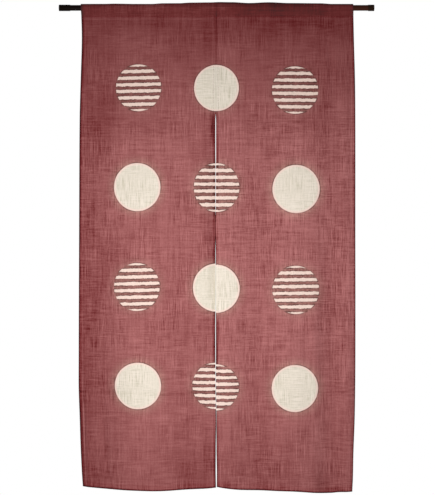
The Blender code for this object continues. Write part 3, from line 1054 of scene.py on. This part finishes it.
def stitch_places(panel):
    """Where the stitches go on the flat cloth: across, drop and the direction of the line of sewing."""
    pitch = sizes().stitch_pitch
    top, foot = POCKET_DROP + FLAP_EDGE + 2 * MM, FOOT_DROP - 1.5 * MM
    for drop in (POCKET_STITCH, FOOT_DROP - FOOT_HEM + STITCH_INSET):
        for across in spaced(2.5 * MM, panel["width"] - 2.5 * MM, pitch):
            yield across, drop, (1.0, 0.0)
    for across in (panel["first_hem"] - STITCH_INSET, panel["width"] - panel["last_hem"] + STITCH_INSET):
        for drop in spaced(top, foot, pitch):
            yield across, drop, (0.0, 1.0)


def one_stitch():
    """The points and faces of one stitch along X, a short bent thread whose ends dive into the cloth."""
    deselect()
    radius, length, along_x = sizes().thread / 2, sizes().stitch, (0, math.pi / 2, 0)
    bpy.ops.mesh.primitive_cylinder_add(vertices=6, radius=radius, depth=length, rotation=along_x)
    stitch = bpy.context.object
    bpy.ops.object.transform_apply(location=True, rotation=True, scale=True)
    bpy.ops.object.mode_set(mode="EDIT")
    for cut in (-length / 4, length / 4):
        bpy.ops.mesh.select_all(action="SELECT")
        bpy.ops.mesh.bisect(plane_co=(cut, 0, 0), plane_no=(1, 0, 0))
    bpy.ops.object.mode_set(mode="OBJECT")
    points = []
    for vertex in stitch.data.vertices:
        x, y, z = vertex.co
        dive = (2 * x / length) ** 2
        thin = 1 - 0.35 * dive
        points.append(Vector((x, y * thin, z * thin + radius * (0.45 - 1.5 * dive))))
    faces = [tuple(face.vertices) for face in stitch.data.polygons]
    bpy.data.objects.remove(stitch)
    return points, faces


def sew_panel(side, material):
    """The stitches of one width of cloth, on its face and its back."""
    panel = PANELS[side]
    points, faces = one_stitch()
    random = Random(7 if side == "left" else 8)
    half = sizes().cloth / 2
    vertices, polygons = [], []
    for across, drop, (run_across, run_drop) in stitch_places(panel):
        at_pocket = run_across and drop < FOOT_DROP / 2
        crossed = 2 * beside_hem(panel, across) if at_pocket or drop > FOOT_DROP - FOOT_HEM else 0
        for facing, depth in ((-1, -half), (1, LAYER_GAP * (1 + crossed) + half)):
            slip = random.uniform(-0.25, 0.25) * MM
            y = FACE_SETBACK + depth
            middle = hung(panel, across + slip * run_drop, drop + slip * run_across, y)
            ahead = hung(panel, across + run_across * MM, drop + run_drop * MM, y)
            beside = hung(panel, across + run_drop * MM, drop - run_across * MM, y)
            along_line = (ahead - middle).normalized()
            out = along_line.cross(beside - middle).normalized()
            if out.y * facing < 0:
                out = -out
            lean = random.uniform(-0.07, 0.07)
            aside = out.cross(along_line)
            along_line = (along_line + lean * aside).normalized()
            aside = out.cross(along_line)
            first = len(vertices)
            vertices += [middle + p.x * along_line + p.y * aside + p.z * out for p in points]
            polygons += [tuple(first + n for n in face) for face in faces]
    mesh = bpy.data.meshes.new(f"stitches_{side}")
    mesh.from_pydata(vertices, [], polygons)
    stitches = bpy.data.objects.new(f"stitches_{side}", mesh)
    bpy.context.collection.objects.link(stitches)
    deselect()
    stitches.select_set(True)
    bpy.context.view_layer.objects.active = stitches
    bpy.ops.object.shade_smooth()
    return finished(stitches, f"stitches_{side}", material)


class NOREN_OT_cloth(bpy.types.Operator):
    """Hangs the two widths of hemp cloth from the rod"""

    bl_idname = "noren.cloth"
    bl_label = "Hang the cloth"

    def execute(self, context):
        thread = thread_cotton()
        for side in PANELS:
            hang_panel(side, thread)
        return {"FINISHED"}


def turned_bar(name, low, high, radius, bevel, material, slot, node):
    """A round bar along X between two places, with softened ends."""
    deselect()
    bpy.ops.mesh.primitive_cylinder_add(
        vertices=64,
        radius=radius,
        depth=high - low,
        location=((low + high) / 2, 0, 0),
        rotation=(0, math.pi / 2, 0),
    )
    bar = bpy.context.object
    bpy.ops.object.transform_apply(location=True, rotation=True, scale=True)
    bpy.ops.object.mode_set(mode="EDIT")
    bpy.ops.mesh.select_all(action="DESELECT")
    mesh = bmesh.from_edit_mesh(bar.data)
    for face in mesh.faces:
        face.select = abs(face.normal.x) > 0.9
    bmesh.update_edit_mesh(bar.data)
    bpy.ops.mesh.bevel(offset=bevel, segments=4, profile=0.5, affect="EDGES")
    bpy.ops.object.mode_set(mode="OBJECT")
    bpy.ops.object.shade_smooth_by_angle(angle=math.radians(40))
    return finished(bar, name, material, (node,))


class NOREN_OT_rod(bpy.types.Operator):
    """Makes the rod and its two end caps"""

    bl_idname = "noren.rod"
    bl_label = "Make the rod"

    def execute(self, context):
        turned_bar("rod_bar", ROD_LOW[0], ROD_HIGH[0], ROD_RADIUS, 0.4 * MM, brown_enamel(), "rod", "rod")
        plastic = cap_plastic()
        left_ends, right_ends = (LEFT_CAP_LOW[0], LEFT_CAP_HIGH[0]), (RIGHT_CAP_LOW[0], RIGHT_CAP_HIGH[0])
        for node, ends in (("cap_left", left_ends), ("cap_right", right_ends)):
            turned_bar(f"{node}_moulded", *ends, CAP_RADIUS, 0.9 * MM, plastic, "cap", node)
        return {"FINISHED"}


def painted_floor():
    """Pale emulsion paint, quite matt and plain, so that the eye stays on the cloth."""
    material, tree = blank_material("painted floor")
    paint = {"Base Color": tuple(colours().floor), "Roughness": 0.8}
    add_node(tree, "OutputMaterial", {"Surface": add_node(tree, "BsdfPrincipled", paint)})
    return material


def white_world():
    """A white studio round the object, brightest behind the cloth."""
    world = bpy.data.worlds.new("white studio")
    bpy.context.scene.world = world
    world.use_nodes = True
    tree = world.node_tree
    tree.nodes.clear()
    direction = add_node(tree, "TexCoord").outputs["Generated"]
    y = add_node(tree, "SeparateXYZ", (direction,)).outputs["Y"]
    lighting = add_node(tree, "MapRange", (y, 0.1, 0.85, WORLD_FRONT, WORLD_BEHIND), **SMOOTH)
    seen = add_node(tree, "LightPath").outputs["Is Camera Ray"]
    strength = add_node(tree, "Mix", {"Factor": seen, "A": lighting, "B": 1.0})
    white = add_node(tree, "Background", {"Color": (1.0, 1.0, 1.0, 1.0), "Strength": strength})
    add_node(tree, "OutputWorld", {"Surface": white})


def add_camera():
    """The camera, straight on at the cloth's middle."""
    distance = sizes().camera_distance
    x, z = VIEW_CENTRE
    bpy.ops.object.camera_add(location=(x, -distance, z), rotation=(math.pi / 2, 0, 0))
    camera = bpy.context.object
    camera.data.sensor_width = SENSOR
    camera.data.lens = SENSOR * distance / (PHOTO_HEIGHT * PIXEL)
    camera.data.dof.use_dof = False
    bpy.context.scene.camera = camera


class NOREN_OT_stage(bpy.types.Operator):
    """Sets the floor, the lights and the camera"""

    bl_idname = "noren.stage"
    bl_label = "Set the stage"

    def execute(self, context):
        deselect()
        bpy.ops.mesh.primitive_circle_add(
            vertices=128, radius=FLOOR_RADIUS, fill_type="NGON", location=(0, 0, -FLOOR_DROP)
        )
        floor = bpy.context.object
        floor.name = "studio_floor"
        floor.data.materials.append(painted_floor())
        white_world()
        bpy.ops.object.light_add(type="AREA", location=KEY_PLACE, rotation=(math.pi / 2, 0, 0))
        key = bpy.context.object
        key.name = "key light"
        key.data.shape = "SQUARE"
        key.data.size = KEY_SIZE
        key.data.energy = KEY_POWER
        key.visible_camera = False
        add_camera()
        context.scene.view_settings.view_transform = "Standard"
        context.scene.view_settings.look = "None"
        return {"FINISHED"}


class NOREN_PT_sidebar(bpy.types.Panel):
    """Lists the curtain's pieces in the order they are made"""

    bl_idname = "NOREN_PT_sidebar"
    bl_label = "Noren curtain"
    bl_space_type = "VIEW_3D"
    bl_region_type = "UI"
    bl_category = "Noren"

    def draw(self, context):
        for group in (context.scene.noren_sizes, context.scene.noren_colours):
            for name in group.__annotations__:
                self.layout.prop(group, name)
        for step in STEPS:
            self.layout.operator(step.bl_idname)


STEPS = (NOREN_OT_stage, NOREN_OT_cloth, NOREN_OT_rod)
CLASSES = (NorenSizes, NorenColours, *STEPS, NOREN_PT_sidebar)


def register():
    """Registers the classes and the scene's settings."""
    for item in CLASSES:
        bpy.utils.register_class(item)
    bpy.types.Scene.noren_sizes = bpy.props.PointerProperty(type=NorenSizes)
    bpy.types.Scene.noren_colours = bpy.props.PointerProperty(type=NorenColours)


def unregister():
    """Removes the scene's settings and the classes."""
    del bpy.types.Scene.noren_colours
    del bpy.types.Scene.noren_sizes
    for item in reversed(CLASSES):
        bpy.utils.unregister_class(item)


def main():
    """Makes every piece in order."""
    register()
    bpy.ops.noren.stage()
    bpy.ops.noren.cloth()
    bpy.ops.noren.rod()


if __name__ == "__main__":
    main()
